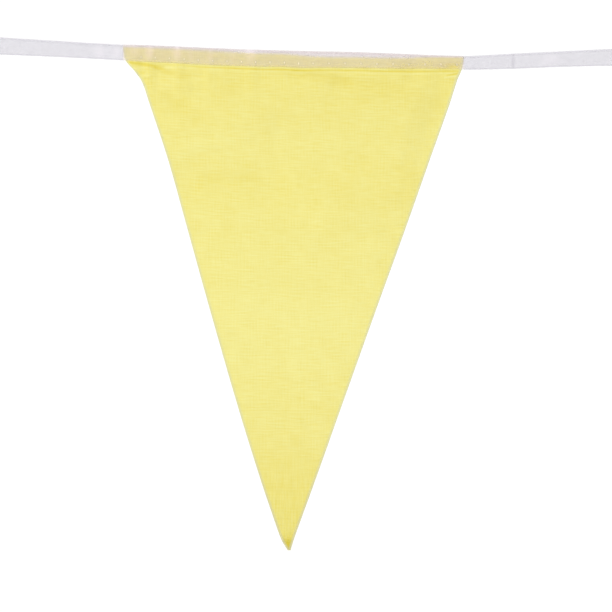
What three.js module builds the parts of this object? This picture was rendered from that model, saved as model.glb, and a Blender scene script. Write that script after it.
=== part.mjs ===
// Fabric bunting: one triangular cotton pennant sewn into a ribbon tape that is folded lengthwise over its top edge.
//
// Millimetres, +Z up. The front faces -Y and +X is to the right of someone who looks at the front.
// The origin is on the top fold of the tape, above the middle of the hanging length. Two solids:
//   pennant  one sheet of cotton, with the pleats at its corners, its soft creases and its doubled tip
//   tape     one ribbon, folded over the pennant's raw edge, front layer, fold and back layer in one
// Every sheet starts as a flat template, divided into columns and rows, and each of its vertices is then
// carried to its place on the hanging cloth. "Out" is a distance towards the front, so y = -out.

import * as THREE from 'three';
import { mergeVertices } from 'three/addons/utils/BufferGeometryUtils.js';

// ---- Driving dimensions --------------------------------------------------------------------------------------

const CLOTH_THICKNESS = 1.0;
const TAPE_THICKNESS = 1.0;
const SEAM_CLEARANCE = 0.4; // between the pennant and each layer of the tape
const EMPTY_TAPE_GAP = 0.6; // between the tape's layers where no pennant lies in it
const TAPE_HALF_LENGTH = 195;
const TIP_Z = -299.5;
const PENNANT_LENGTH = 300; // from the raw edge, hidden in the tape, to the tip
const HIDDEN_DROP = 7.8; // how much of that length lies in the tape

const MERGE_DISTANCE = 1e-4;

// The tape, from its left end to its right end. Only its middle carries the pennant, so it hangs lowest there.
//   x      place along the tape
//   top    height of the top fold
//   width  from the top fold down to the sewn edges
//   tuck   from the top fold down to the pennant's raw edge
const TAPE_STATIONS = [
  { x: -195, top: 9.0, width: 10.7, tuck: 1.8 },
  { x: -148, top: 6.0, width: 9.6, tuck: 1.8 },
  { x: -113, top: 3.9, width: 9.4, tuck: 1.8 },
  { x: -100, top: 3.6, width: 10.4, tuck: 1.8 },
  { x: -87, top: 3.1, width: 11.0, tuck: 1.9 },
  { x: -58, top: 1.8, width: 10.7, tuck: 2.1 },
  { x: -30, top: 0.8, width: 10.9, tuck: 2.4 },
  { x: 0, top: 0.0, width: 11.1, tuck: 3.2 },
  { x: 30, top: -0.6, width: 10.9, tuck: 3.8 },
  { x: 57, top: -1.6, width: 10.4, tuck: 3.0 },
  { x: 86, top: -2.7, width: 8.8, tuck: 1.8 },
  { x: 97, top: -2.9, width: 8.7, tuck: 1.8 },
  { x: 125, top: -1.5, width: 9.3, tuck: 1.8 },
  { x: 160, top: 0.2, width: 9.6, tuck: 1.8 },
  { x: 195, top: 1.9, width: 10.6, tuck: 1.8 },
];

// Slow sideways bends of the whole tape, which the pennant's top edge follows.
const TAPE_BENDS = [
  { x: -75, reach: 75, out: 0.9 },
  { x: 62, reach: 62, out: -0.7 },
];

// Short ripples in the tape. They grow from nothing at the taut top fold to "out" at the sewn edge.
const TAPE_RIPPLES = [
  { x: -114, reach: 9, out: 0.6 },
  { x: -94, reach: 9, out: 0.7 },
  { x: -77, reach: 9, out: 0.6 },
  { x: -58, reach: 10, out: 0.5 },
  { x: -33, reach: 12, out: 0.8 },
  { x: 20, reach: 16, out: -0.4 },
  { x: 64, reach: 8, out: -0.6 },
  { x: 124, reach: 6, out: -0.9 },
  { x: 146, reach: 14, out: 0.6 },
];

// The pennant's two side edges. "drop" runs down the cloth, from 0 at its raw edge to 300 at its tip, and passes
// HIDDEN_DROP at the tape's sewn edge. The left corner splays out below it, where the seam has pleated the cloth.
const PENNANT_EDGES = [
  { drop: 0, left: -110.0, right: 94.6 },
  { drop: 8, left: -108.3, right: 93.1 },
  { drop: 14, left: -102.9, right: 90.6 },
  { drop: 20, left: -98.6, right: 88.7 },
  { drop: 32, left: -94.4, right: 84.9 },
  { drop: 65, left: -83.3, right: 73.3 },
  { drop: 105, left: -71.9, right: 59.3 },
  { drop: 150, left: -59.3, right: 43.2 },
  { drop: 210, left: -42.1, right: 22.0 },
  { drop: 255, left: -28.3, right: 6.2 },
  { drop: 282, left: -19.3, right: -3.5 },
  { drop: 294, left: -15.0, right: -7.7 },
  { drop: 300, left: -11.5, right: -9.5 },
];

// Straight soft creases in the pennant, each from one point to another. "out" is positive on a ridge.
const PENNANT_CREASES = [
  { fromX: -107, fromZ: -8, toX: -74, toZ: -16, reach: 4.5, out: -0.9 },
  { fromX: -100, fromZ: -8.5, toX: -52, toZ: -13, reach: 4.5, out: 0.7 },
  { fromX: -101, fromZ: -16, toX: -72, toZ: -22, reach: 5, out: 0.5 },
  { fromX: -8, fromZ: -13, toX: 24, toZ: -18, reach: 5, out: -0.8 },
  { fromX: 18, fromZ: -20, toX: 57, toZ: -22, reach: 6, out: -0.9 },
  { fromX: 84, fromZ: -15, toX: 93, toZ: -12, reach: 3, out: -0.7 },
  { fromX: 80, fromZ: -27, toX: 71, toZ: -62, reach: 16, out: -1.3 },
  { fromX: -92, fromZ: -48, toX: -30, toZ: -44, reach: 16, out: 0.9 },
  { fromX: -68, fromZ: -75, toX: -24, toZ: -80, reach: 20, out: -1.4 },
  { fromX: 62, fromZ: -78, toX: 20, toZ: -92, reach: 26, out: 1.0 },
];

// The pennant seen from its side: how far it hangs out of the tape's plane at each height.
const PENNANT_PROFILE = [
  { z: 10, out: 0 },
  { z: -12, out: 0 },
  { z: -55, out: -1.4 },
  { z: -100, out: 0.4 },
  { z: -160, out: 2.0 },
  { z: -230, out: 0.8 },
  { z: TIP_Z, out: -2.6 },
];

// Just under the tape the cloth rolls out from below the sewn edge.
const SEAM_ROLL = { below: 4.2, reach: 4.2, out: 1.1 };
const RIPPLE_FADE = 30; // how far below the tape its ripples still show in the pennant
const FREE_BELOW = 6; // the creases start at the tape's edge and reach full depth this far below it

// The tip is turned in behind itself, so the cloth is doubled there.
const TIP_TURN = { height: 6.5, blend: 2.5, extraThickness: 0.8 };

// Divisions of the templates.
const PENNANT_COLUMNS = 44;
const HIDDEN_ROWS = 3;
const HANGING_ROWS = 40;
const ROW_CROWDING = 1.35; // above 1 the rows stand closer together near the tape
const TAPE_COLUMNS = 120;
const TAPE_SIDE_ROWS = 2;
const TAPE_FOLD_ROWS = 8;

// ---- Smooth curves through the tables -------------------------------------------------------------------------

// The value of one column at a place along the table's "along" column, on a smooth curve through its rows.
function columnAt(table, along, place, column) {
  const rising = Math.sign(table[table.length - 1][along] - table[0][along]);
  let i = 0;
  while (i < table.length - 2 && (place - table[i + 1][along]) * rising > 0) i += 1;
  const slopeAt = (row) => {
    const before = table[Math.max(row - 1, 0)];
    const after = table[Math.min(row + 1, table.length - 1)];
    return (after[column] - before[column]) / (after[along] - before[along]);
  };
  const start = table[i];
  const end = table[i + 1];
  const span = end[along] - start[along];
  const t = THREE.MathUtils.clamp((place - start[along]) / span, 0, 1);
  const curveIn = t * t * (3 - 2 * t);
  const leave = t * (1 - t) * (1 - t) * span * slopeAt(i);
  const arrive = t * t * (1 - t) * span * slopeAt(i + 1);
  return start[column] + (end[column] - start[column]) * curveIn + leave - arrive;
}

// 1 in the middle, falling softly to exactly 0 at "reach".
function bump(distance, reach) {
  const r = Math.min(Math.abs(distance) / reach, 1);
  return (1 - r * r) ** 2;
}

const sumOfBumps = (bends, x) => bends.reduce((sum, bend) => sum + bend.out * bump(x - bend.x, bend.reach), 0);

// ---- The tape's place -----------------------------------------------------------------------------------------

const tapeTop = (x) => columnAt(TAPE_STATIONS, 'x', x, 'top');
const tapeWidth = (x) => columnAt(TAPE_STATIONS, 'x', x, 'width');
const pennantTuck = (x) => columnAt(TAPE_STATIONS, 'x', x, 'tuck');

// How far the tape's middle surface stands out at x, "depth" below its top fold.
function tapeOut(x, depth) {
  const share = Math.min(depth / tapeWidth(x), 1);
  return sumOfBumps(TAPE_BENDS, x) + share * sumOfBumps(TAPE_RIPPLES, x);
}

// Half the space between the tape's layers. It opens just before each corner of the pennant.
const PENNANT_CORNERS = { left: PENNANT_EDGES[0].left, right: PENNANT_EDGES[0].right };
const OPENING_LENGTH = 9;
const OPENING_MARGIN = 1.5;
function tapeHalfGap(x) {
  const past = Math.max(PENNANT_CORNERS.left - x, x - PENNANT_CORNERS.right);
  const closed = THREE.MathUtils.smoothstep(past, OPENING_MARGIN, OPENING_MARGIN + OPENING_LENGTH);
  return THREE.MathUtils.lerp(CLOTH_THICKNESS / 2 + SEAM_CLEARANCE, EMPTY_TAPE_GAP / 2, closed);
}

// ---- The pennant's place --------------------------------------------------------------------------------------

// Distance from a point to a crease, both in the plane of the front.
function distanceToCrease(x, z, crease) {
  const start = new THREE.Vector2(crease.fromX, crease.fromZ);
  const run = new THREE.Vector2(crease.toX, crease.toZ).sub(start);
  const point = new THREE.Vector2(x, z);
  const t = THREE.MathUtils.clamp(point.clone().sub(start).dot(run) / run.lengthSq(), 0, 1);
  return point.distanceTo(start.addScaledVector(run, t));
}

// How far the pennant's middle surface stands out at a point.
function pennantOut(x, z) {
  const depth = tapeTop(x) - z;
  const below = depth - tapeWidth(x);
  const rippleShare = 1 - THREE.MathUtils.smoothstep(below, 0, RIPPLE_FADE);
  const free = THREE.MathUtils.smoothstep(below, 0, FREE_BELOW);
  const creases = PENNANT_CREASES.reduce(
    (sum, crease) => sum + crease.out * bump(distanceToCrease(x, z, crease), crease.reach),
    0,
  );
  const held = below < 0 ? tapeOut(x, depth) : sumOfBumps(TAPE_BENDS, x) + rippleShare * sumOfBumps(TAPE_RIPPLES, x);
  const roll = SEAM_ROLL.out * bump(below - SEAM_ROLL.below, SEAM_ROLL.reach);
  return held + roll + free * (creases + columnAt(PENNANT_PROFILE, 'z', z, 'out'));
}

function clothThickness(drop) {
  const turned = THREE.MathUtils.smoothstep(
    drop,
    PENNANT_LENGTH - TIP_TURN.height - TIP_TURN.blend,
    PENNANT_LENGTH - TIP_TURN.height,
  );
  return CLOTH_THICKNESS + turned * TIP_TURN.extraThickness;
}

// ---- Solids ---------------------------------------------------------------------------------------------------

// A closed sheet from a flat template. place(across, up, side) gives each vertex its point: across and up run
// from 0 to 1, and side is 1 on the face that looks outwards and -1 on the face behind it.
function sheet(columns, rows, place) {
  const geometry = new THREE.BoxGeometry(1, 1, 2, columns, rows, 1);
  geometry.deleteAttribute('normal');
  geometry.deleteAttribute('uv');
  geometry.clearGroups();
  const vertices = geometry.attributes.position;
  for (let i = 0; i < vertices.count; i += 1) {
    const point = place(vertices.getX(i) + 0.5, vertices.getY(i) + 0.5, vertices.getZ(i));
    vertices.setXYZ(i, point.x, point.y, point.z);
  }
  const merged = mergeVertices(geometry, MERGE_DISTANCE);
  merged.computeVertexNormals();
  return merged;
}

// The rows run down from the raw edge: a few in the tape, one along its sewn edge, and the rest below it.
function pennantGeometry() {
  const rows = HIDDEN_ROWS + HANGING_ROWS;
  return sheet(PENNANT_COLUMNS, rows, (across, up, side) => {
    const row = (1 - up) * rows;
    const hidden = Math.min(row / HIDDEN_ROWS, 1);
    const hanging = Math.max((row - HIDDEN_ROWS) / HANGING_ROWS, 0) ** ROW_CROWDING;
    const drop = HIDDEN_DROP * hidden + (PENNANT_LENGTH - HIDDEN_DROP) * hanging;
    const left = columnAt(PENNANT_EDGES, 'drop', drop, 'left');
    const right = columnAt(PENNANT_EDGES, 'drop', drop, 'right');
    const x = THREE.MathUtils.lerp(left, right, across);
    const depthInTape = THREE.MathUtils.lerp(pennantTuck(x), tapeWidth(x), hidden);
    const z = THREE.MathUtils.lerp(tapeTop(x) - depthInTape, TIP_Z, hanging);
    const out = pennantOut(x, z) + (side * clothThickness(drop)) / 2;
    return new THREE.Vector3(x, -out, z);
  });
}

// The ribbon runs along X. Around the fold it goes from the front layer's edge, over the top, to the back one's.
function tapeGeometry() {
  const rows = 2 * TAPE_SIDE_ROWS + TAPE_FOLD_ROWS;
  return sheet(TAPE_COLUMNS, rows, (along, around, side) => {
    const x = THREE.MathUtils.lerp(-TAPE_HALF_LENGTH, TAPE_HALF_LENGTH, along);
    const halfGap = tapeHalfGap(x);
    const radius = side > 0 ? halfGap + TAPE_THICKNESS : halfGap;
    const foldCentre = halfGap + TAPE_THICKNESS;
    const row = around * rows;
    const upFront = THREE.MathUtils.clamp(row / TAPE_SIDE_ROWS, 0, 1);
    const downBack = THREE.MathUtils.clamp((row - TAPE_SIDE_ROWS - TAPE_FOLD_ROWS) / TAPE_SIDE_ROWS, 0, 1);
    const turn = THREE.MathUtils.clamp((row - TAPE_SIDE_ROWS) / TAPE_FOLD_ROWS, 0, 1) * Math.PI;
    const layerDepth = THREE.MathUtils.lerp(foldCentre, tapeWidth(x), 1 - upFront + downBack);
    const depth = layerDepth - radius * Math.sin(turn);
    const out = tapeOut(x, depth) + radius * Math.cos(turn);
    return new THREE.Vector3(x, -out, tapeTop(x) - depth);
  });
}

// ---- The bunting ----------------------------------------------------------------------------------------------

function clothMesh(name, geometry, colour, roughness) {
  const material = new THREE.MeshStandardMaterial({ color: colour, roughness, metalness: 0 });
  const mesh = new THREE.Mesh(geometry, material);
  mesh.name = name;
  return mesh;
}

const bunting = new THREE.Group();
bunting.name = 'fabric_bunting';
bunting.add(clothMesh('pennant', pennantGeometry(), '#f3eb94', 0.9));
bunting.add(clothMesh('tape', tapeGeometry(), '#e6e3e9', 0.75));

export default bunting;
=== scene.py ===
"""Fabric bunting: one yellow cotton pennant sewn into a sheer white ribbon tape.

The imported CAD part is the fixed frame. Its two plain solids are replaced here by the thin cloth that they
stand for, hung on the same folds: the pennant, the folded tape and the row of stitches that closes the tape.
Shapes are worked out in millimetres, as a maker's pattern is, and every mesh is brought to metres last.
+Z is up, the front faces -Y, and "out" is a distance towards the front, so y = -out.
"""

import logging
import math
from collections.abc import Callable, Mapping, Sequence
from dataclasses import dataclass, fields
from enum import Enum
from functools import partial

import bmesh
import bpy
from bpy.types import Material, NodeSocket, NodeTree, Object
from mathutils import Matrix, Vector


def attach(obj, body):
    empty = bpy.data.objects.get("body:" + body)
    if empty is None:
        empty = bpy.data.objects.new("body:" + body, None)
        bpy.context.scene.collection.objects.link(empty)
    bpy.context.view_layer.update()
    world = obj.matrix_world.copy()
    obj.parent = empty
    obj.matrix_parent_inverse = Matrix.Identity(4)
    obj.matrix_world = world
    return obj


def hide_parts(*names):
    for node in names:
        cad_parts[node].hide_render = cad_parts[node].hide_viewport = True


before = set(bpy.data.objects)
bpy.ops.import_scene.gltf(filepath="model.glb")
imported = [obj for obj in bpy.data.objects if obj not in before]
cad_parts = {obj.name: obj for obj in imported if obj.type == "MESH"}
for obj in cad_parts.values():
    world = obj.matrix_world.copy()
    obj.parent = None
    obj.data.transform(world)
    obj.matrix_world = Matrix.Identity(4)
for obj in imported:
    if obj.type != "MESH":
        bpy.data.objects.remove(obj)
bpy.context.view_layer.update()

MM = 0.001
BODY = "root"
CLOTH_UV = "cloth"

# The tape's mark "bare" is 0 over the cotton, this much in the empty fold above it, and 1 past the pennant.
EMPTY_FOLD = 0.5

# A Map Range node set like this steps softly. A Mix node set like this blends the colours at its inputs 6
# and 7, by the share at its input 0, and gives the result at its output 2.
SOFTLY = {"interpolation_type": "SMOOTHSTEP"}
IN_COLOUR = {"data_type": "RGBA"}

# At this scale a Wave texture has one band to a unit.
BAND_A_UNIT = 0.32

log = logging.getLogger("bunting")


class Hold(Enum):
    HUNG = "hung"
    FOLDED = "folded"


class Layer(Enum):
    """The two layers of the folded tape, as the sign of their side."""

    FRONT = 1
    BACK = -1


# ---- Curves and humps ----


def ramp(value: float, low: float, high: float) -> float:
    """Rises softly from 0 at one value to 1 at another.

    Args:
        value: Where to read the ramp.
        low: The last value that gives 0.
        high: The first value that gives 1.

    Returns:
        A share from 0 to 1.
    """
    t = min(max((value - low) / (high - low), 0.0), 1.0)
    return t * t * (3 - 2 * t)


def mix(start: float, end: float, share: float) -> float:
    """Returns the value that lies that share of the way from start to end."""
    return start + (end - start) * share


def hump(distance: float, reach: float) -> float:
    """Returns 1 at no distance, falling softly to exactly 0 at reach."""
    share = min(abs(distance) / reach, 1.0)
    return (1 - share * share) ** 2


class SmoothCurve:
    """A smooth curve through one column of a table, level beyond its two ends. It is called with a place."""

    def __init__(self, table: Sequence[object], column: str) -> None:
        """Keeps the places and that column, in rising order of place.

        Args:
            table: Rows of one dataclass, whose first column is the place.
            column: The name of the column that the curve goes through.
        """
        place = fields(table[0])[0].name
        stations = sorted((getattr(row, place), getattr(row, column)) for row in table)
        self.places, self.values = zip(*stations)

    def _slope(self, i: int) -> float:
        """Returns the curve's slope at one station, from its neighbours."""
        before, after = max(i - 1, 0), min(i + 1, len(self.places) - 1)
        return (self.values[after] - self.values[before]) / (self.places[after] - self.places[before])

    def __call__(self, place: float) -> float:
        """Reads the curve.

        Args:
            place: Where to read it.

        Returns:
            The value there.
        """
        i = 0
        while i < len(self.places) - 2 and place > self.places[i + 1]:
            i += 1
        span = self.places[i + 1] - self.places[i]
        t = min(max((place - self.places[i]) / span, 0.0), 1.0)
        rise = (self.values[i + 1] - self.values[i]) * t * t * (3 - 2 * t)
        leave = t * (1 - t) * (1 - t) * span * self._slope(i)
        arrive = t * t * (1 - t) * span * self._slope(i + 1)
        return self.values[i] + rise + leave - arrive


@dataclass(frozen=True)
class Bend:
    """A soft hump along the tape, in millimetres: where, how far it reaches each way, and how far out."""

    x: float
    reach: float
    out: float

    def at(self, x: float) -> float:
        """Returns how far out the hump stands at x."""
        return self.out * hump(x - self.x, self.reach)


@dataclass(frozen=True)
class Patch:
    """A soft oval patch of the ribbon, in millimetres along it and down from its fold.

    Its highlight share, from 0 to 1, is a painted highlight that whitens its yarns where they stand clear of
    the cotton and catch the light. crowd is how much more of the surface they cover there, and is negative
    where the ribbon clings to what lies behind it.
    """

    x: float
    depth: float
    reach: float
    reach_down: float
    lift: float = 0.0
    crowd: float = 0.0

    def near(self, x: float, depth: float) -> float:
        """Returns 1 in the middle of the patch, falling softly to 0 at its rim."""
        return hump(math.hypot((x - self.x) / self.reach, (depth - self.depth) / self.reach_down), 1.0)


@dataclass(frozen=True)
class Crease:
    """A soft crease in the cloth along a path of points across and up, in millimetres.

    out is positive on a ridge and negative in a trough. deep is painted shade along it, from 0 to 1, and is
    negative where it is painted highlight instead. fade is the share of it that is left at the path's end,
    and end_reach its reach there.
    """

    path: tuple[tuple[float, float], ...]
    reach: float
    out: float
    deep: float = 0.0
    fade: float = 1.0
    end_reach: float | None = None

    def near(self, x: float, z: float) -> float:
        """Reads the crease at a point of the front.

        Args:
            x: Place across.
            z: Height.

        Returns:
            A share, 1 on the crease's line and 0 past its reach.
        """
        nearest = 0.0
        last = len(self.path) - 1
        for i in range(last):
            (from_x, from_z), (to_x, to_z) = self.path[i], self.path[i + 1]
            run_x = to_x - from_x
            run_z = to_z - from_z
            along = ((x - from_x) * run_x + (z - from_z) * run_z) / (run_x * run_x + run_z * run_z)
            along = min(max(along, 0.0), 1.0)
            away = math.hypot(x - from_x - along * run_x, z - from_z - along * run_z)
            share = (i + along) / last
            reach = mix(self.reach, self.end_reach or self.reach, share)
            nearest = max(nearest, mix(1.0, self.fade, share) * hump(away, reach))
        return nearest

    def spans(self, z: float) -> bool:
        """Returns whether the crease reaches one height."""
        reach = max(self.reach, self.end_reach or 0.0)
        return min(up for _, up in self.path) - reach < z < max(up for _, up in self.path) + reach


# ---- Meshes ----


@dataclass(frozen=True)
class ClothPoint:
    """One point of a hung sheet, in millimetres.

    place is where it hangs, flat is where it lay on the cut cloth, and marks are the named values that its
    finish reads there.
    """

    place: Vector
    flat: tuple[float, float]
    marks: Mapping[str, float]


def hang_sheet(
    name: str, columns: int, rows: int, thickness: float, point_at: Callable[[float, float], ClothPoint]
) -> Object:
    """Makes a sheet from a flat grid, by carrying each of its points to its place on the hanging cloth.

    Args:
        name: The piece's name.
        columns: Cells across.
        rows: Cells down.
        thickness: In millimetres, half of it on each side of its points.
        point_at: Gives the cloth's point for two shares from 0 to 1, across and down.

    Returns:
        The sheet, with its lay on the cut cloth as a UV map in metres and its marks as point attributes.
    """
    bm = bmesh.new()
    bmesh.ops.create_grid(bm, x_segments=columns, y_segments=rows, size=1.0)
    flat_places: dict[int, tuple[float, float]] = {}
    marks: dict[int, Mapping[str, float]] = {}
    bm.verts.index_update()
    for vertex in bm.verts:
        point = point_at((vertex.co.x + 1) / 2, (1 - vertex.co.y) / 2)
        vertex.co = point.place
        flat_places[vertex.index] = point.flat
        marks[vertex.index] = point.marks
    lay = bm.loops.layers.uv.new(CLOTH_UV)
    for face in bm.faces:
        for loop in face.loops:
            across, down = flat_places[loop.vert.index]
            loop[lay].uv = (across * MM, down * MM)
    for mark in marks[0]:
        layer = bm.verts.layers.float.new(mark)
        for vertex in bm.verts:
            vertex[layer] = marks[vertex.index][mark]
    piece = make_object(bm, name)
    wall = piece.modifiers.new("cloth thickness", "SOLIDIFY")
    wall.thickness = thickness * MM
    wall.offset = 0.0
    return piece


def make_object(bm: bmesh.types.BMesh, name: str) -> Object:
    """Turns a mesh in millimetres into an object in metres, shaded smooth.

    Args:
        bm: The mesh, which is freed.
        name: The piece's name.

    Returns:
        The object, at the origin.
    """
    bmesh.ops.scale(bm, vec=Vector((MM, MM, MM)), verts=bm.verts)
    for face in bm.faces:
        face.smooth = True
    mesh = bpy.data.meshes.new(name)
    bm.to_mesh(mesh)
    bm.free()
    piece = bpy.data.objects.new(name, mesh)
    bpy.context.scene.collection.objects.link(piece)
    return piece


# ---- Finishes ----


def linear(hex_colour: str) -> tuple[float, float, float, float]:
    """Turns an sRGB hex colour to linear.

    Args:
        hex_colour: Such as "#f3eb94".

    Returns:
        Red, green, blue and alpha.
    """
    channels = (int(hex_colour[i : i + 2], 16) / 255 for i in (1, 3, 5))
    red, green, blue = (c / 12.92 if c <= 0.04045 else ((c + 0.055) / 1.055) ** 2.4 for c in channels)
    return red, green, blue, 1.0


def add_node(
    tree: NodeTree,
    kind: str,
    sockets: Mapping[str | int, object] | Sequence[object] = (),
    output: str | int = 0,
    **settings: object,
) -> NodeSocket | None:
    """Adds one node to a tree.

    Args:
        tree: The node tree.
        kind: The node's type name, after "ShaderNode".
        sockets: Values, or other nodes' outputs to link, by the inputs' names or numbers or in their order.
        output: The output that is wanted.
        settings: Properties of the node itself.

    Returns:
        That output, or None from a node that has no outputs.
    """
    node = tree.nodes.new("ShaderNode" + kind)
    for name, value in settings.items():
        setattr(node, name, value)
    for key, value in sockets.items() if isinstance(sockets, Mapping) else enumerate(sockets):
        if isinstance(value, NodeSocket):
            tree.links.new(value, node.inputs[key])
        else:
            node.inputs[key].default_value = value
    return node.outputs[output] if node.outputs else None


class Finish:
    """What every finish shares: an empty node tree, the streaks of a weave, and the ways that it ends."""

    def __init__(self, name: str) -> None:
        """Starts an empty material.

        Args:
            name: What the real material is.
        """
        self.material = bpy.data.materials.new(name)
        self.material.use_nodes = True
        self.material.node_tree.nodes.clear()
        self.add = partial(add_node, self.material.node_tree)

    def streaks(self, lay: NodeSocket, length: float, width: float, detail: float = 1.0) -> NodeSocket:
        """Links soft uneven streaks, from about -0.5 to 0.5, along the cloth's first or second direction.

        Args:
            lay: The cloth's place on its flat cut, in metres.
            length: The streaks' size across the cloth, in millimetres.
            width: Their size down it.
            detail: How much finer unevenness they carry.

        Returns:
            The output.
        """
        scale = (1 / (length * MM), 1 / (width * MM), 1.0)
        spread = self.add("Mapping", {"Vector": lay, "Scale": scale})
        sockets = {"Vector": spread, "Scale": 1.0, "Detail": detail, "Roughness": 0.6}
        pattern = self.add("TexNoise", sockets, "Fac", noise_dimensions="2D")
        return self.add("Math", (pattern, 0.5), operation="SUBTRACT")

    def cloth(
        self, cover: NodeSocket, through: float, face: Mapping[str, object], glow: Mapping[str, object]
    ) -> Material:
        """Ends the finish as thin cloth: threads that let some light through, with open gaps between them.

        Args:
            cover: How much of the surface the threads cover.
            through: How much of what they show is light from behind.
            face: The sockets of their lit side.
            glow: The sockets of the light from behind.

        Returns:
            The finished material.
        """
        sides = (through, self.add("BsdfPrincipled", face), self.add("BsdfTranslucent", glow))
        threads = self.add("MixShader", sides)
        gaps = self.add("BsdfTransparent")
        return self.end(self.add("MixShader", (cover, gaps, threads)))

    def end(self, surface: NodeSocket) -> Material:
        """Links the surface to the output and returns the finished material."""
        self.add("OutputMaterial", {"Surface": surface})
        return self.material


@dataclass(frozen=True)
class CottonFinish:
    """Dyed cotton sheeting with a linen look: slubby plain weave, matt, and thin enough to let light through.

    Light comes through one layer, so the cloth glows a little. Where it is doubled or pleated, along the seam
    and just inside the tape, painted shade deepens its colour, and below the seam and on some ridges a
    painted highlight makes it paler. Its weft has thick and thin places, which show as short level streaks,
    and its warp as longer upright ones, which show most where the cloth is narrow. A faint check comes and
    goes over both.
    """

    # The colour runs from light to deep by the mark shade, which holds bands in the dyeing together with
    # painted shade and painted highlight.
    light: str = "#f2eda4"
    deep: str = "#e4d44c"
    rim: str = "#e6e3ad"
    tip_rim: str = "#e0dba8"
    through: float = 0.30

    # How far in from its side edges the cloth is a little greyer: fully so, and at all. In millimetres.
    rim_ends: tuple[float, float] = (0.6, 2.1)

    weft_length: float = 10.0
    weft_width: float = 0.85
    warp_width: float = 0.65
    warp_length: float = 12.0
    check_down: float = 2.1
    check_across: float = 1.9
    check_sway: float = 0.9
    check_faintest: float = 0.1
    check_fades: tuple[float, float] = (-0.15, 0.2)
    mottle: float = 14.0
    mottle_detail: float = 2.0

    weft_share: float = 0.42
    warp_share: float = 0.22
    check_share: float = 0.045
    mottle_share: float = 0.16
    tip_warp_share: float = 0.51
    tip_weft_share: float = 0.17
    slub_height: float = 0.05

    # The raw edge inside the tape has lost its outer threads, so it thins out unevenly.
    fray_uneven: float = 0.4

    def make(self) -> Material:
        """Builds the material.

        Returns:
            The material, which reads the cloth's UV map and its marks shade, rim, raw and tip.
        """
        finish = Finish("dyed cotton sheeting, linen look")
        marks = ("shade", "rim", "raw", "tip")
        shade, rim, raw, tip = (finish.add("Attribute", output="Fac", attribute_name=mark) for mark in marks)
        lay = finish.add("UVMap", uv_map=CLOTH_UV)
        weft = finish.streaks(lay, self.weft_length, self.weft_width)
        warp = finish.streaks(lay, self.warp_width, self.warp_length)
        mottle = finish.streaks(lay, self.mottle, self.mottle, self.mottle_detail)
        warp_share = finish.add("MapRange", (tip, 0.0, 1.0, self.warp_share, self.tip_warp_share), **SOFTLY)
        weft_share = finish.add("MapRange", (tip, 0.0, 1.0, self.weft_share, self.tip_weft_share), **SOFTLY)
        slubs = finish.add("Math", (warp, warp_share), operation="MULTIPLY")
        slubs = finish.add("Math", (weft, weft_share, slubs), operation="MULTIPLY_ADD")
        rows = self.check(finish, lay, "Y", self.check_down)
        columns = self.check(finish, lay, "X", self.check_across)
        checks = finish.add("Math", (rows, columns), operation="ADD")
        uneven = finish.add("Math", (mottle, self.mottle_share, slubs), operation="MULTIPLY_ADD")
        uneven = finish.add("Math", (checks, self.check_share, uneven), operation="MULTIPLY_ADD")
        depth = finish.add("Math", (shade, uneven), operation="ADD", use_clamp=True)
        dyed = finish.add("Mix", {0: depth, 6: linear(self.light), 7: linear(self.deep)}, 2, **IN_COLOUR)
        rim_colour = finish.add("Mix", {0: tip, 6: linear(self.rim), 7: linear(self.tip_rim)}, 2, **IN_COLOUR)
        near_rim = finish.add("MapRange", (rim, *self.rim_ends, 1.0, 0.0), **SOFTLY)
        colour = finish.add("Mix", {0: near_rim, 6: dyed, 7: rim_colour}, 2, **IN_COLOUR)
        height = finish.add("Math", (slubs, 0.5), operation="ADD")
        normal = finish.add("Bump", {"Height": height, "Distance": self.slub_height * MM, "Strength": 1.0})
        ends = finish.add("Math", (warp, self.fray_uneven, raw), operation="MULTIPLY_ADD")
        cover = finish.add("MapRange", (ends, 0.0, 1.0, 0.0, 1.0), **SOFTLY)
        face = {
            "Base Color": colour,
            "Roughness": 0.9,
            "Specular IOR Level": 0.2,
            "Sheen Weight": 0.15,
            "Sheen Roughness": 0.5,
            "Normal": normal,
        }
        return finish.cloth(cover, self.through, face, {"Color": colour, "Normal": normal})

    def check(self, finish: Finish, lay: NodeSocket, axis: str, pitch: float) -> NodeSocket:
        """Links the even beat of the threads in one direction, which sways and comes and goes.

        Args:
            finish: The finish that it is added to.
            lay: The cloth's place on its flat cut, in metres.
            axis: The axis that runs across those threads.
            pitch: The beat's length, in millimetres.

        Returns:
            The output, from -1 to 1.
        """
        sway = finish.streaks(lay, self.mottle, self.mottle)
        sway = finish.add("Math", (sway, self.check_sway), operation="MULTIPLY")
        place = finish.add("SeparateXYZ", (lay,), axis)
        turns = finish.add("Math", (place, 1 / (pitch * MM), sway), operation="MULTIPLY_ADD")
        turns = finish.add("Math", (turns, 2 * math.pi), operation="MULTIPLY")
        beat = finish.add("Math", (turns,), operation="SINE")
        comes = finish.streaks(lay, self.mottle / 2, self.mottle / 2)
        strength = finish.add("MapRange", (comes, *self.check_fades, self.check_faintest, 1.0), **SOFTLY)
        return finish.add("Math", (beat, strength), operation="MULTIPLY")


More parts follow.
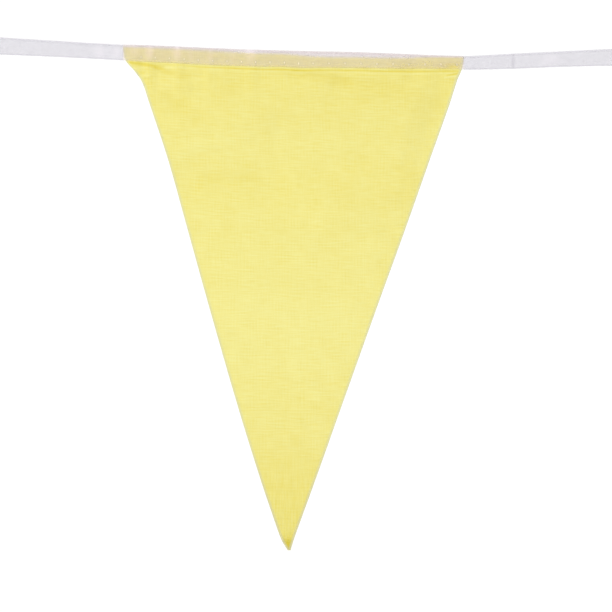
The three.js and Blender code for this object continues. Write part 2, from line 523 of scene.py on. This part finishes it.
@dataclass(frozen=True)
class RibbonFinish:
    """Sheer white polyester ribbon, plain woven of smooth fine yarn.

    Light goes straight through between its yarns, so what lies behind shows milky. The yarns have a faint
    silky sheen, and where they lie on the cotton their colour carries a painted warm glow from it. In the
    empty fold above the cotton painted shade draws them greyer, and past the pennant greyer still, and there
    they are fewer. That painted shade gives the ribbon the tone of more and whiter yarns shading one another,
    with less grain in the render. Where the ribbon stands clear of the cotton, a painted highlight whitens
    the yarns. The pressed fold is densest just below its top.
    """

    yarn_with_cotton_glow: str = "#f1e9dd"
    empty_fold_shaded_yarn: str = "#e1d8d9"
    bare_shaded_yarn: str = "#c3bfca"
    highlight_yarn: str = "#fff2fc"
    cover: float = 0.32
    bare_cover: float = 0.18
    through: float = 0.35

    # How much more the yarns cover at the woven edge and at the pressed fold, and how far from each.
    woven_edge_cover: float = -0.05
    bare_edge_cover: float = 0.04
    woven_edge_ends: tuple[float, float] = (0.5, 1.3)
    fold_cover: float = 0.15
    bare_fold_cover: float = 0.05
    fold_starts: tuple[float, float] = (0.3, 1.0)
    fold_ends: tuple[float, float] = (1.0, 1.8)

    # Yarns lie 0.25 mm apart, too fine to show, so the weave is drawn at three times that.
    yarn_width: float = 0.75
    yarn_length: float = 6.0
    weave_share: float = 0.05
    weave_height: float = 0.03

    def make(self) -> Material:
        """Builds the material.

        Returns:
            The material, which reads the ribbon's UV map and its marks woven_edge, pressed_fold, crowd,
            bare and the painted highlight.
        """
        finish = Finish("sheer polyester ribbon, plain weave")
        marks = ("woven_edge", "pressed_fold", "crowd", "lift", "bare")
        edge, fold, crowd, lift, bare = (
            finish.add("Attribute", output="Fac", attribute_name=mark) for mark in marks
        )
        lay = finish.add("UVMap", uv_map=CLOTH_UV)
        along = finish.streaks(lay, self.yarn_length, self.yarn_width)
        across = finish.streaks(lay, self.yarn_width, self.yarn_length)
        weave = finish.add("Math", (along, across), operation="ADD")
        weave = finish.add("Math", (weave, self.weave_share), operation="MULTIPLY")
        empty = finish.add("MapRange", (bare, 0.0, EMPTY_FOLD, 0.0, 1.0), **SOFTLY)
        outside = finish.add("MapRange", (bare, EMPTY_FOLD, 1.0, 0.0, 1.0), **SOFTLY)
        # The yarns carry painted glow from the cotton, painted shade in the empty fold and past the pennant,
        # and painted highlight where they stand clear.
        yarn = linear(self.yarn_with_cotton_glow)
        for share, colour in ((empty, self.empty_fold_shaded_yarn), (outside, self.bare_shaded_yarn), (lift, self.highlight_yarn)):
            yarn = finish.add("Mix", {0: share, 6: yarn, 7: linear(colour)}, 2, **IN_COLOUR)
        at_edge = finish.add("MapRange", (edge, *self.woven_edge_ends, 1.0, 0.0), **SOFTLY)
        past_top = finish.add("MapRange", (fold, *self.fold_starts, 0.0, 1.0), **SOFTLY)
        at_fold = finish.add("MapRange", (fold, *self.fold_ends, 1.0, 0.0), **SOFTLY)
        at_fold = finish.add("Math", (past_top, at_fold), operation="MULTIPLY")
        cover = weave
        for place, over_cotton, past_it in (
            (1.0, self.cover, self.bare_cover),
            (at_edge, self.woven_edge_cover, self.bare_edge_cover),
            (at_fold, self.fold_cover, self.bare_fold_cover),
        ):
            share = finish.add("MapRange", (outside, 0.0, 1.0, over_cotton, past_it), **SOFTLY)
            cover = finish.add("Math", (place, share, cover), operation="MULTIPLY_ADD")
        cover = finish.add("Math", (cover, crowd), operation="ADD", use_clamp=True)
        height = finish.add("Math", (weave, 0.5), operation="ADD")
        normal = finish.add("Bump", {"Height": height, "Distance": self.weave_height * MM, "Strength": 1.0})
        face = {
            "Base Color": yarn,
            "Roughness": 0.55,
            "Specular IOR Level": 0.4,
            "Sheen Weight": 0.1,
            "Normal": normal,
        }
        return finish.cloth(cover, self.through, face, {"Color": yarn})


@dataclass(frozen=True)
class ThreadFinish:
    """Spun polyester sewing thread: matt cream, with the twist of its plies across each stitch."""

    cream: str = "#e9e3d4"
    shadow: str = "#dad3c2"

    # One turn of the twist is drawn about twice as long as the real 0.2 mm, which would not show.
    twist_pitch: float = 0.45
    twist_slant: float = 35.0
    twist_height: float = 0.03

    def make(self) -> Material:
        """Builds the material.

        Returns:
            The material, which reads Object coordinates.
        """
        finish = Finish("spun polyester sewing thread")
        turn = 1 / (self.twist_pitch * MM)
        sockets = {
            "Vector": finish.add("TexCoord", output="Object"),
            "Rotation": (0.0, math.radians(self.twist_slant), 0.0),
            "Scale": (turn, turn, turn),
        }
        sockets = {"Vector": finish.add("Mapping", sockets), "Scale": BAND_A_UNIT, "Distortion": 0.4}
        plies = finish.add("TexWave", sockets, "Fac", wave_type="BANDS", bands_direction="X")
        colour = finish.add("Mix", {0: plies, 6: linear(self.shadow), 7: linear(self.cream)}, 2, **IN_COLOUR)
        normal = finish.add("Bump", {"Height": plies, "Distance": self.twist_height * MM, "Strength": 1.0})
        face = {"Base Color": colour, "Roughness": 0.75, "Sheen Weight": 0.2, "Normal": normal}
        return finish.end(finish.add("BsdfPrincipled", face))


@dataclass(frozen=True)
class FloorFinish:
    """Matt white studio paint, a little uneven."""

    white: str = "#f4f4f2"
    grey: str = "#ececea"
    patch: float = 400.0

    def make(self) -> Material:
        """Builds the material.

        Returns:
            The material, which reads Object coordinates.
        """
        finish = Finish("matt white studio paint")
        place = finish.add("TexCoord", output="Object")
        patches = finish.streaks(place, self.patch, self.patch)
        patches = finish.add("Math", (patches, 0.5), operation="ADD")
        colour = finish.add("Mix", {0: patches, 6: linear(self.white), 7: linear(self.grey)}, 2, **IN_COLOUR)
        return finish.end(finish.add("BsdfPrincipled", {"Base Color": colour, "Roughness": 0.9}))


# ---- The tape's lie ----


@dataclass(frozen=True)
class Station:
    """One place along the tape: the height of its top fold, and the way down from there to the sewn edges."""

    x: float
    top: float
    width: float


@dataclass(frozen=True)
class RawEdge:
    """The pennant's raw edge in the tape: how far below the top fold it lies, and how far down it frays."""

    x: float
    tuck: float
    fray: float


@dataclass
class TapeLie:
    """How the folded tape hangs, which the tape, the pennant and the stitches all follow.

    Its curves are called with a place along the tape. top gives the height of the top fold, width the way
    down from there to the sewn edges, tuck the way down to the pennant's raw edge, and fray how far below its
    raw edge the pennant's cloth thins out.
    """

    half_length: float = 195.0
    stations: tuple[Station, ...] = (
        Station(-195, 9, 10.7), Station(-148, 6, 9.6), Station(-113, 3.9, 9.4), Station(-100, 3.6, 9.9),
        Station(-87, 3.1, 10), Station(-76, 2.6, 10.1), Station(-60, 1.9, 10.3), Station(-44, 1.25, 10.2),
        Station(-28, 0.75, 10.2), Station(-14, 0.35, 9.9), Station(-4, 0.1, 10.25),
        Station(8, -0.15, 9.8), Station(30, -0.6, 9.5), Station(44, -1.1, 9.25), Station(57, -1.6, 8.95),
        Station(70, -2.15, 8.4), Station(82, -2.6, 8), Station(92, -2.85, 8), Station(98, -2.9, 8.3),
        Station(125, -1.5, 9.1), Station(160, 0.2, 9.5), Station(195, 1.9, 10.6),
    )
    raw_edge: tuple[RawEdge, ...] = (
        RawEdge(-110, 0.4, 3.2), RawEdge(-70, 0.4, 3.6), RawEdge(-52, 0.5, 3.6), RawEdge(-34, 1.3, 2.8),
        RawEdge(-14, 1.1, 3), RawEdge(2, 2.1, 3.2), RawEdge(14, 2.3, 3.2), RawEdge(32, 2.1, 3),
        RawEdge(56, 1.6, 3), RawEdge(74, 0.7, 2.2), RawEdge(95, 0.3, 1.4),
    )
    bends: tuple[Bend, ...] = (Bend(-75, 75, 0.9), Bend(62, 62, -0.7))
    ripples: tuple[Bend, ...] = (
        Bend(-124, 7, 0.4), Bend(-114, 6, 0.4), Bend(-103, 5, 0.3), Bend(-94, 5, 0.6),
        Bend(-77, 5, 0.5), Bend(-58, 5, 0.4), Bend(-33, 6, 0.6), Bend(20, 16, -0.4), Bend(64, 8, -0.6),
        Bend(124, 6, -0.8), Bend(146, 14, 0.5),
    )
    # The first nine patches and the last are painted highlight on the yarns; the others change how much they
    # cover.
    patches: tuple[Patch, ...] = (
        Patch(-124, 5, 5, 6, lift=0.25),
        Patch(-114, 5, 4, 6, lift=0.2),
        Patch(-103, 4.2, 4, 4.5, lift=0.4),
        Patch(-94, 4.4, 3.6, 5.5, lift=0.9),
        Patch(-77.5, 4.2, 4, 5.5, lift=0.8),
        Patch(-69.5, 5, 2.5, 5, lift=0.35),
        Patch(-57.5, 5, 2.8, 5.5, lift=0.45),
        Patch(-44.5, 4.5, 3, 5, lift=0.3),
        Patch(-33.5, 3.6, 5, 5, lift=0.65),
        Patch(-36, 1, 11, 1.8, crowd=-0.12),
        Patch(-33, 8.5, 6, 2.5, crowd=0.04),
        Patch(64, 5, 1.8, 6, crowd=0.04),
        Patch(66, 7.4, 17, 3, crowd=-0.06),
        Patch(73, 5, 5, 2.5, crowd=-0.05),
        Patch(87.5, 6.6, 6, 2.8, crowd=-0.18),
        Patch(124, 5, 1.6, 8, crowd=0.07),
        Patch(146, 5, 9, 6, lift=0.15),
    )
    stitch_height: float = 2.6

    def __post_init__(self) -> None:
        """Works out the curves through the tables."""
        self.top = SmoothCurve(self.stations, "top")
        self.width = SmoothCurve(self.stations, "width")
        self.tuck = SmoothCurve(self.raw_edge, "tuck")
        self.fray = SmoothCurve(self.raw_edge, "fray")

    def bend(self, x: float) -> float:
        """Returns how far out the whole tape bends at x."""
        return sum(bend.at(x) for bend in self.bends)

    def ripple(self, x: float) -> float:
        """Returns how far out the tape's sewn edge ripples at x."""
        return sum(ripple.at(x) for ripple in self.ripples)

    def lift(self, x: float, depth: float) -> float:
        """Returns the painted highlight where the ribbon stands clear of the cotton, from 0 to 1."""
        return sum(patch.lift * patch.near(x, depth) for patch in self.patches if patch.lift)

    def crowd(self, x: float, depth: float) -> float:
        """Returns how much more the yarns cover at one place than in flat ribbon."""
        return sum(patch.crowd * patch.near(x, depth) for patch in self.patches if patch.crowd)

    def out(self, x: float, depth: float) -> float:
        """Works out how far the tape's middle surface stands out.

        Args:
            x: Place along the tape.
            depth: The way down from the top fold.

        Returns:
            The distance out.
        """
        return self.bend(x) + min(depth / self.width(x), 1.0) * self.ripple(x)


# ---- The pennant ----


@dataclass(frozen=True)
class SideEdges:
    """The pennant's two side edges at one way down the cloth, in millimetres."""

    drop: float
    left: float
    right: float


@dataclass(frozen=True)
class Belly:
    """How far out of the tape's plane the cloth hangs at one height, in millimetres."""

    z: float
    out: float


@dataclass(frozen=True)
class Shade:
    """How deep the cloth's colour is at one height, from 0, light, to 1, deep.

    It holds bands in the dyeing, and painted shade inside the tape and towards the tip.
    """

    z: float
    depth: float


@dataclass(frozen=True)
class SeamShadow:
    """Painted shadow where the pennant rolls out from under the tape: how far below it, and how dark."""

    x: float
    below: float
    deep: float


@dataclass
class Pennant:
    """The triangle of cotton: its outline, its creases, its turned-in tip and its finish. In millimetres."""

    tape: TapeLie
    name: str = "pennant_cloth"
    node: str = "pennant"
    slot: str = "pennant_cotton"
    thickness: float = 0.3
    length: float = 300.0
    hidden_drop: float = 7.8
    tip_z: float = -299.5
    flap_height: float = 6.5
    flap_gap: float = 0.5
    flap_inset: float = 0.08
    edges: tuple[SideEdges, ...] = (
        SideEdges(0, -110.4, 94.6), SideEdges(8, -108.3, 93.1), SideEdges(14, -102.9, 90.6),
        SideEdges(20, -98.6, 88.7), SideEdges(32, -94.4, 84.9), SideEdges(65, -83.3, 73.3),
        SideEdges(105, -71.9, 59.3), SideEdges(150, -59.3, 43.2), SideEdges(210, -42.1, 22),
        SideEdges(255, -28.3, 6.2), SideEdges(282, -19.3, -3.5), SideEdges(294, -15, -7.7),
        SideEdges(300, -11.5, -9.5),
    )

    # Each row gives path, reach, out and deep, which is painted shade, and where the crease changes on its
    # way, fade and end_reach.
    creases: tuple[Crease, ...] = (
        Crease(((-8, -13), (24, -18)), 5, -0.5, 0.13),
        Crease(((18, -20), (57, -22)), 6, -0.6, 0.11),
        Crease(((80, -27), (71, -62)), 16, -1.3),
        Crease(((-92, -48), (-30, -44)), 16, 0.9),
        Crease(((-68, -75), (-24, -80)), 20, -1.4),
        Crease(((62, -78), (20, -92)), 26, 1),
        Crease(((14, -30), (62, -27), (83, -33)), 6, -0.3, 0.05),
        Crease(((82, -30), (76, -46)), 9, -0.2, 0.03),
        Crease(((28, -66), (62, -70), (60, -86)), 11, -0.2, 0.06),
        Crease(((-46, -20), (-34, -20)), 7, -0.3, 0.07),
        Crease(((-82, -30), (-66, -40)), 9, -0.3, 0.09),
        Crease(((-88, -49.5), (-55, -51.3)), 1.2, -0.15, 0.08),
        Crease(((-74, -60), (-36, -50)), 7, 0.3, -0.05),
        Crease(((-62, -76), (-28, -77)), 5, -0.3, 0.08),
    )
    left_pleats: tuple[Crease, ...] = (
        Crease(((-108, -6.9), (-99.6, -7.8), (-91.2, -9.1), (-86, -9.8)), 1.3, -0.25, 0.72, 0.35, 2),
        Crease(((-91, -10), (-83.4, -12.6), (-72, -15)), 1.5, -0.3, 0.24, 0.3, 3.2),
        Crease(((-101, -16), (-72, -22)), 5, 0.5),
        Crease(((-103, -10.6), (-97, -10.6)), 0.9, 0.2, -0.2),
        Crease(((-101.4, -13.4), (-97.4, -13.4)), 1, -0.2, 0.22),
        Crease(((-100.8, -15.2), (-93.6, -15)), 1, 0.25, -0.2),
        Crease(((-97.2, -16.6), (-92.4, -16.6)), 1, -0.2, 0.18),
        # This row has no fold and is painted shade alone.
        Crease(((-99, -18), (-98, -19.2)), 1.1, 0, 0.2),
        Crease(((-86, -10.2), (-78, -10.6)), 1.3, 0.25, -0.12),
        Crease(((-81.6, -17.2), (-76.8, -17)), 1, 0.15, -0.1),
        Crease(((-70.8, -14.8), (-63.6, -15.4)), 1.8, -0.15, 0.08),
    )
    right_pleats: tuple[Crease, ...] = (
        Crease(((82, -12.8), (88, -12.6)), 1.1, -0.15, 0.12),
        Crease(((93, -12.8), (90, -13.7), (84.5, -14.7)), 0.95, -0.25, 0.95, 0.35),
        Crease(((83, -15.9), (89.4, -14.9), (92.4, -14.2)), 0.85, 0.2, -0.36),
        Crease(((86.4, -17.4), (91.2, -17.8)), 0.9, -0.15, 0.15),
        Crease(((58.8, -15.2), (80.4, -15)), 1.2, -0.15, 0.06),
        Crease(((56.4, -17.2), (79.2, -17)), 1.3, -0.15, 0.05),
        # These two have no fold: they are painted shade just below the tape.
        Crease(((52, -8.6), (92, -8.8)), 4.6, 0, 0.2),
        Crease(((80, -9.4), (92, -8.6)), 3.2, 0, 0.15),
    )
    profile: tuple[Belly, ...] = (
        Belly(10, 0), Belly(-11, 0), Belly(-27, 0.5), Belly(-55, -0.8), Belly(-100, 0.6),
        Belly(-160, 2), Belly(-230, 0.8), Belly(-262, -0.2), Belly(-280, -1.4), Belly(-299.5, -4.2),
    )
    shades: tuple[Shade, ...] = (
        Shade(5, 0.42), Shade(-14, 0.31), Shade(-40, 0.25), Shade(-57, 0.2), Shade(-68, 0.23),
        Shade(-84, 0.26), Shade(-93, 0.24), Shade(-99, 0.19), Shade(-107, 0.22), Shade(-114, 0.18),
        Shade(-140, 0.18), Shade(-150, 0.14), Shade(-162, 0.12), Shade(-178, 0.15), Shade(-189, 0.14),
        Shade(-198, 0.19), Shade(-205, 0.17), Shade(-214, 0.24), Shade(-224, 0.22), Shade(-240, 0.28),
        Shade(-255, 0.36), Shade(-275, 0.41), Shade(-286, 0.37), Shade(-292, 0.58), Shade(-296, 1),
        Shade(-300, 1),
    )
    seam: tuple[SeamShadow, ...] = (
        SeamShadow(-112, 0.8, 0), SeamShadow(-90, 0.9, 0.05), SeamShadow(-78, 1.2, 0.14),
        SeamShadow(-62, 1.4, 0.36), SeamShadow(-46, 1.5, 0.5), SeamShadow(-22, 1.6, 0.58),
        SeamShadow(2, 1.6, 0.56), SeamShadow(16, 1.6, 0.48), SeamShadow(30, 1.55, 0.52),
        SeamShadow(44, 1.75, 0.58), SeamShadow(57, 1.75, 0.52), SeamShadow(74, 1.7, 0.5),
        SeamShadow(86, 1.5, 0.4), SeamShadow(96, 1.2, 0.25),
    )

    # Below the painted shadow line lies a painted highlight. Between the line and the tape lies a thin
    # painted highlight, where the cloth turns towards the light, and just inside the tape painted shade makes
    # the cloth a little deeper.
    seam_reach: float = 0.6
    seam_highlight: float = 0.14
    seam_highlight_reach: float = 1.1
    lip_below: float = 0.35
    lip_reach: float = 0.75
    lip_highlight: float = 0.22
    under_edge_shade: float = 0.14
    under_edge_shade_reach: float = 0.9

    # How far down the weave and the side edges start to look as they do near the tip, and where they do.
    tip_look: tuple[float, float] = (215.0, 285.0)

    # How far below the tape the cloth rolls out, and by where it has lost the tape's ripples and hangs free.
    roll_below: float = 4.2
    roll_out: float = 0.15
    ripple_fade: float = 30.0
    free_below: float = 6.0

    # The grid's cells, which crowd together towards the side edges and towards the tape.
    columns: int = 214
    edge_crowding: float = 0.6
    hidden_rows: int = 13
    hanging_rows: int = 186
    row_crowding: float = 1.45
    turn_rows: int = 6
    flap_rows: int = 8

    def __post_init__(self) -> None:
        """Works out the curves through the tables."""
        self.left = SmoothCurve(self.edges, "left")
        self.right = SmoothCurve(self.edges, "right")
        self.belly = SmoothCurve(self.profile, "out")
        self.dye_and_shade_by_height = SmoothCurve(self.shades, "depth")
        self.seam_below = SmoothCurve(self.seam, "below")
        self.seam_shadow = SmoothCurve(self.seam, "deep")

    @property
    def rows(self) -> int:
        """Returns the cells down the cloth, from its raw edge to the end of its flap."""
        return self.hidden_rows + self.hanging_rows + self.turn_rows + self.flap_rows

    def near_creases(self, z: float) -> list[Crease]:
        """Returns the creases and pleats that reach one height."""
        every = (*self.creases, *self.left_pleats, *self.right_pleats)
        return [crease for crease in every if crease.spans(z)]

    def out(self, x: float, z: float) -> float:
        """Works out how far the cloth's middle surface stands out.

        Args:
            x: Place across.
            z: Height.

        Returns:
            The distance out.
        """
        depth = self.tape.top(x) - z
        below = depth - self.tape.width(x)
        if below < 0:
            held = self.tape.out(x, depth)
        else:
            held = self.tape.bend(x) + (1 - ramp(below, 0, self.ripple_fade)) * self.tape.ripple(x)
        roll = self.roll_out * hump(below - self.roll_below, self.roll_below)
        creases = sum(crease.out * crease.near(x, z) for crease in self.near_creases(z))
        return held + roll + ramp(below, 0, self.free_below) * (creases + self.belly(z))

    def point(self, across: float, down: float) -> ClothPoint:
        """Carries one point of the flat grid to its place.

        Args:
            across: From 0 at the left edge to 1 at the right one.
            down: From 0 at the raw edge, down to the tip and up behind it, to 1 at the flap's end.

        Returns:
            The cloth's point.
        """
        row = down * self.rows
        hidden = min(row / self.hidden_rows, 1.0)
        hanging = min(max((row - self.hidden_rows) / self.hanging_rows, 0.0), 1.0) ** self.row_crowding
        past = row - self.hidden_rows - self.hanging_rows
        turn = min(max(past / self.turn_rows, 0.0), 1.0)
        flap = max((past - self.turn_rows) / self.flap_rows, 0.0)
        across = mix(across, 0.5 - 0.5 * math.cos(math.pi * across), self.edge_crowding)
        drop = mix(0.0, self.hidden_drop, hidden) + (self.length - self.hidden_drop) * hanging
        drop -= flap * self.flap_height
        left = self.left(drop)
        right = self.right(drop)
        inset = turn * self.flap_inset * (right - left)
        x = mix(left + inset, right - inset, across)
        tuck = mix(self.tape.tuck(x), self.tape.width(x), hidden)
        z = mix(self.tape.top(x) - tuck, self.tip_z, hanging) + flap * self.flap_height
        behind = self.flap_gap / 2 * (1 - math.cos(math.pi * turn))
        z -= self.flap_gap / 2 * math.sin(math.pi * turn)
        place = Vector((x, behind - self.out(x, z), z))
        marks = {
            "shade": self.shade(x, z),
            "rim": min(x - left, right - x),
            "raw": (self.tape.top(x) - self.tape.tuck(x) - z) / self.tape.fray(x),
            "tip": ramp(-z, *self.tip_look),
        }
        return ClothPoint(place, (x, -drop), marks)

    def shade(self, x: float, z: float) -> float:
        """Works out how deep the cloth's colour is drawn, apart from the weave.

        It holds bands in the dyeing, painted shade along the seam, inside the tape and in creases, and
        painted highlight below the seam and on some ridges.

        Args:
            x: Place across.
            z: Height.

        Returns:
            The depth, from 0 to 1.
        """
        below = self.tape.top(x) - self.tape.width(x) - z
        line = self.seam_below(x)
        # Painted shadow along the seam's line, painted highlight below it and on the lip, and painted shade
        # just inside the tape.
        seam = self.seam_shadow(x) * hump(below - line, self.seam_reach)
        seam -= self.seam_highlight * hump(below - line - self.seam_highlight_reach, self.seam_highlight_reach)
        seam -= self.lip_highlight * hump(below - self.lip_below, self.lip_reach)
        seam += self.under_edge_shade * hump(below + self.under_edge_shade_reach / 2, self.under_edge_shade_reach)
        # Painted shade in the creases, and painted highlight where deep is negative.
        creases = sum(crease.deep * crease.near(x, z) for crease in self.near_creases(z))
        return self.dye_and_shade_by_height(z) + seam + creases

    def build(self) -> Object:
        """Makes the pennant, dresses it, hangs it on the frame's body and hides the CAD part that it
        replaces.

        Returns:
            The piece.
        """
        piece = hang_sheet(self.name, self.columns, self.rows, self.thickness, self.point)
        piece.data.materials.append(CottonFinish().make())
        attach(piece, BODY)
        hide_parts(self.node)
        return piece


# ---- The tape ----


@dataclass
class Tape:
    """The ribbon, folded lengthwise over the pennant's raw edge. In millimetres."""

    lie: TapeLie
    pennant: Pennant
    name: str = "tape_ribbon"
    node: str = "tape"
    slot: str = "tape_ribbon"
    thickness: float = 0.15
    fold_height: float = 0.6

    # How far each layer lies from the tape's middle: under the fold, over the pennant and past it, and how
    # much farther at the sewn edges.
    fold_half: float = 0.55
    held_half: float = 0.36
    closed_half: float = 0.14
    edge_flare: float = 0.12

    # Where, past the pennant's corners, the two layers start and end closing up, and where the ribbon's look
    # starts and ends turning to that of bare tape.
    closes: tuple[float, float] = (0.5, 7.0)
    bares: tuple[float, float] = (-1.2, 0.2)
    columns: int = 480
    side_rows: int = 12
    fold_rows: int = 8

    @property
    def rows(self) -> int:
        """Returns the cells round the ribbon, from one sewn edge over the fold to the other."""
        return 2 * self.side_rows + self.fold_rows

    def past(self, x: float) -> float:
        """Returns how far past the pennant's nearest corner x lies, negative between the two."""
        corners = self.pennant.edges[0]
        return max(corners.left - x, x - corners.right)

    def half_gap(self, x: float, depth: float) -> float:
        """Works out how far each layer's middle surface lies from the tape's middle.

        Args:
            x: Place along the tape.
            depth: The way down from the top fold.

        Returns:
            The distance.
        """
        held = mix(self.held_half, self.closed_half, ramp(self.past(x), *self.closes))
        width = self.lie.width(x)
        pressed = ramp(depth, self.fold_height, width - self.lie.stitch_height)
        flare = self.edge_flare * ramp(depth, width - self.lie.stitch_height, width)
        return mix(self.fold_half, held, pressed) + flare

    def point(self, along: float, around: float) -> ClothPoint:
        """Carries one point of the flat ribbon to its place.

        Args:
            along: From 0 at the left end to 1 at the right one.
            around: From 0 at the front layer's sewn edge, over the fold, to 1 at the back layer's.

        Returns:
            The cloth's point.
        """
        x = mix(-self.lie.half_length, self.lie.half_length, along)
        width = self.lie.width(x)
        row = around * self.rows
        up_front = min(row / self.side_rows, 1.0)
        down_back = max((row - self.side_rows - self.fold_rows) / self.side_rows, 0.0)
        turn = math.pi * min(max((row - self.side_rows) / self.fold_rows, 0.0), 1.0)
        layer = Layer.FRONT if up_front < 1 or turn < math.pi / 2 else Layer.BACK
        depth = mix(self.fold_height, width, 1 - up_front + down_back)
        half = self.half_gap(x, depth)
        if 0 < turn < math.pi:
            depth = self.fold_height * (1 - math.sin(turn))
            half = self.half_gap(x, self.fold_height) * abs(math.cos(turn))
        filled = ramp(depth - self.lie.tuck(x), 0.0, self.lie.fray(x))
        place = Vector((x, -self.lie.out(x, depth) - layer.value * half, self.lie.top(x) - depth))
        marks = {
            "woven_edge": width - depth,
            "pressed_fold": depth,
            "crowd": self.lie.crowd(x, depth),
            "lift": self.lie.lift(x, depth),
            "bare": max(ramp(self.past(x), *self.bares), mix(EMPTY_FOLD, 0.0, filled)),
        }
        return ClothPoint(place, (x, layer.value * depth), marks)

    def build(self, stitches: Object) -> Object:
        """Makes the tape, dresses it, hangs it on the frame's body and hides the CAD part that it replaces.

        Args:
            stitches: The row of stitches that is sewn through it. Not used.

        Returns:
            The piece.
        """
        piece = hang_sheet(self.name, self.columns, self.rows, self.thickness, self.point)
        piece.data.materials.append(RibbonFinish().make())
        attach(piece, BODY)
        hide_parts(self.node)
        return piece


# ---- The stitches ----


@dataclass
class Stitching:
    """The row of small upright bites that closes the tape over the pennant, on both layers. In millimetres.

    The thread runs between the layers and comes out at each bite alone, where it lies doubled. Left of the
    first bite the pace is shorter, and towards the pennant's left corner the thread is pulled deeper into the
    ribbon. No bite shows past the pennant's corners.
    """

    tape: Tape
    name: str = "seam_stitches"
    slot: str = "tape_ribbon"
    first: float = 3.9
    pace_left: float = 8.6
    pace_right: float = 9.6
    corner_margin: float = 3.0
    bite: float = 1.35
    thread: float = 0.24
    strands: int = 2
    sunk: float = 0.13
    sunk_deep: float = 0.21

    # The thread is sunk deep as far right as the first of these places, and less from the second one on.
    sinks: tuple[float, float] = (-70.0, -10.0)
    segments: int = 8
    rings: int = 8

    def places(self) -> list[float]:
        """Works out where the bites are.

        Returns:
            Their places along the tape.
        """
        corners = self.tape.pennant.edges[0]
        to_left = int((self.first - corners.left - self.corner_margin) / self.pace_left)
        to_right = int((corners.right - self.first - self.corner_margin) / self.pace_right)
        left = [self.first - i * self.pace_left for i in range(1, to_left + 1)]
        return left + [self.first + i * self.pace_right for i in range(to_right + 1)]

    def build(self) -> Object:
        """Makes every strand of every bite as a short plump thread, all joined in one mesh, and dresses them.

        Returns:
            The piece.
        """
        strand = bmesh.new()
        bmesh.ops.create_uvsphere(strand, u_segments=self.segments, v_segments=self.rings, radius=1.0)
        size = Vector((self.thread / 2, self.thread / 2, self.bite / 2))
        bmesh.ops.scale(strand, vec=size, verts=strand.verts)
        pattern = bpy.data.meshes.new("one strand")
        strand.to_mesh(pattern)
        strand.free()
        bm = bmesh.new()
        lie = self.tape.lie
        for x in self.places():
            depth = lie.width(x) - lie.stitch_height
            sunk = mix(self.sunk_deep, self.sunk, ramp(x, *self.sinks))
            offset = self.tape.half_gap(x, depth) + (self.tape.thickness + self.thread) / 2 - sunk
            for layer in Layer:
                for i in range(self.strands):
                    beside = (i - (self.strands - 1) / 2) * self.thread
                    y = -lie.out(x, depth) - layer.value * offset
                    shift = Matrix.Translation((x + beside, y, lie.top(x) - depth))
                    pattern.transform(shift)
                    bm.from_mesh(pattern)
                    pattern.transform(shift.inverted())
        bpy.data.meshes.remove(pattern)
        piece = make_object(bm, self.name)
        piece.data.materials.append(ThreadFinish().make())
        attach(piece, BODY)
        return piece


# ---- The studio ----


@dataclass
class Studio:
    """The camera, the lights, the white surround and the floor. In metres."""

    frame_width: float = 0.3672
    distance: float = 2.0
    look_at: tuple[float, float, float] = (-0.0003, 0.0, -0.1530)
    sensor: float = 36.0
    key_place: tuple[float, float, float] = (-2.2, -1.2, 0.75)
    key_size: float = 0.8
    key_power: float = 22.0
    surround: float = 1.06
    floor_z: float = -0.6
    floor_size: float = 4.8

    def place_camera(self) -> None:
        """Puts the camera square in front of the bunting."""
        data = bpy.data.cameras.new("camera")
        data.sensor_width = self.sensor
        data.lens = self.sensor * self.distance / self.frame_width
        camera = bpy.data.objects.new("camera", data)
        camera.location = Vector(self.look_at) - Vector((0, self.distance, 0))
        camera.rotation_euler = (math.radians(90), 0, 0)
        bpy.context.scene.collection.objects.link(camera)
        bpy.context.scene.camera = camera

    def light(self) -> None:
        """Lights the cloth from all round with white, and from the upper left with one soft box."""
        world = bpy.data.worlds.new("white surround")
        world.use_nodes = True
        world.node_tree.nodes.clear()
        sockets = {"Color": linear("#ffffff"), "Strength": self.surround}
        glow = add_node(world.node_tree, "Background", sockets)
        add_node(world.node_tree, "OutputWorld", {"Surface": glow})
        bpy.context.scene.world = world
        data = bpy.data.lights.new("key softbox", "AREA")
        data.size = self.key_size
        data.energy = self.key_power
        key = bpy.data.objects.new("key softbox", data)
        key.location = self.key_place
        beam = Vector(self.look_at) - Vector(self.key_place)
        key.rotation_euler = beam.to_track_quat("-Z", "Y").to_euler()
        bpy.context.scene.collection.objects.link(key)

    def lay_floor(self) -> None:
        """Lays a pale floor below the bunting."""
        bm = bmesh.new()
        bmesh.ops.create_grid(bm, x_segments=4, y_segments=4, size=self.floor_size / 2 / MM)
        bmesh.ops.translate(bm, vec=Vector((0, 0, self.floor_z / MM)), verts=bm.verts)
        floor = make_object(bm, "floor")
        floor.data.materials.append(FloorFinish().make())

    def set_up(self) -> None:
        """Readies the whole studio, with colours shown as they are."""
        bpy.context.scene.view_settings.view_transform = "Standard"
        self.place_camera()
        self.light()
        self.lay_floor()


def main() -> None:
    """Builds the studio and every piece, and reports each piece."""
    logging.basicConfig(level=logging.INFO, format="%(name)s: %(message)s")
    Studio().set_up()
    lie = TapeLie()
    pennant = Pennant(lie)
    tape = Tape(lie, pennant)
    stitches = Stitching(tape).build()
    pieces = [stitches, tape.build(stitches), pennant.build()]
    for piece in pieces:
        log.info("%s: %d points, %d faces", piece.name, len(piece.data.vertices), len(piece.data.polygons))


if __name__ == "__main__":
    main()
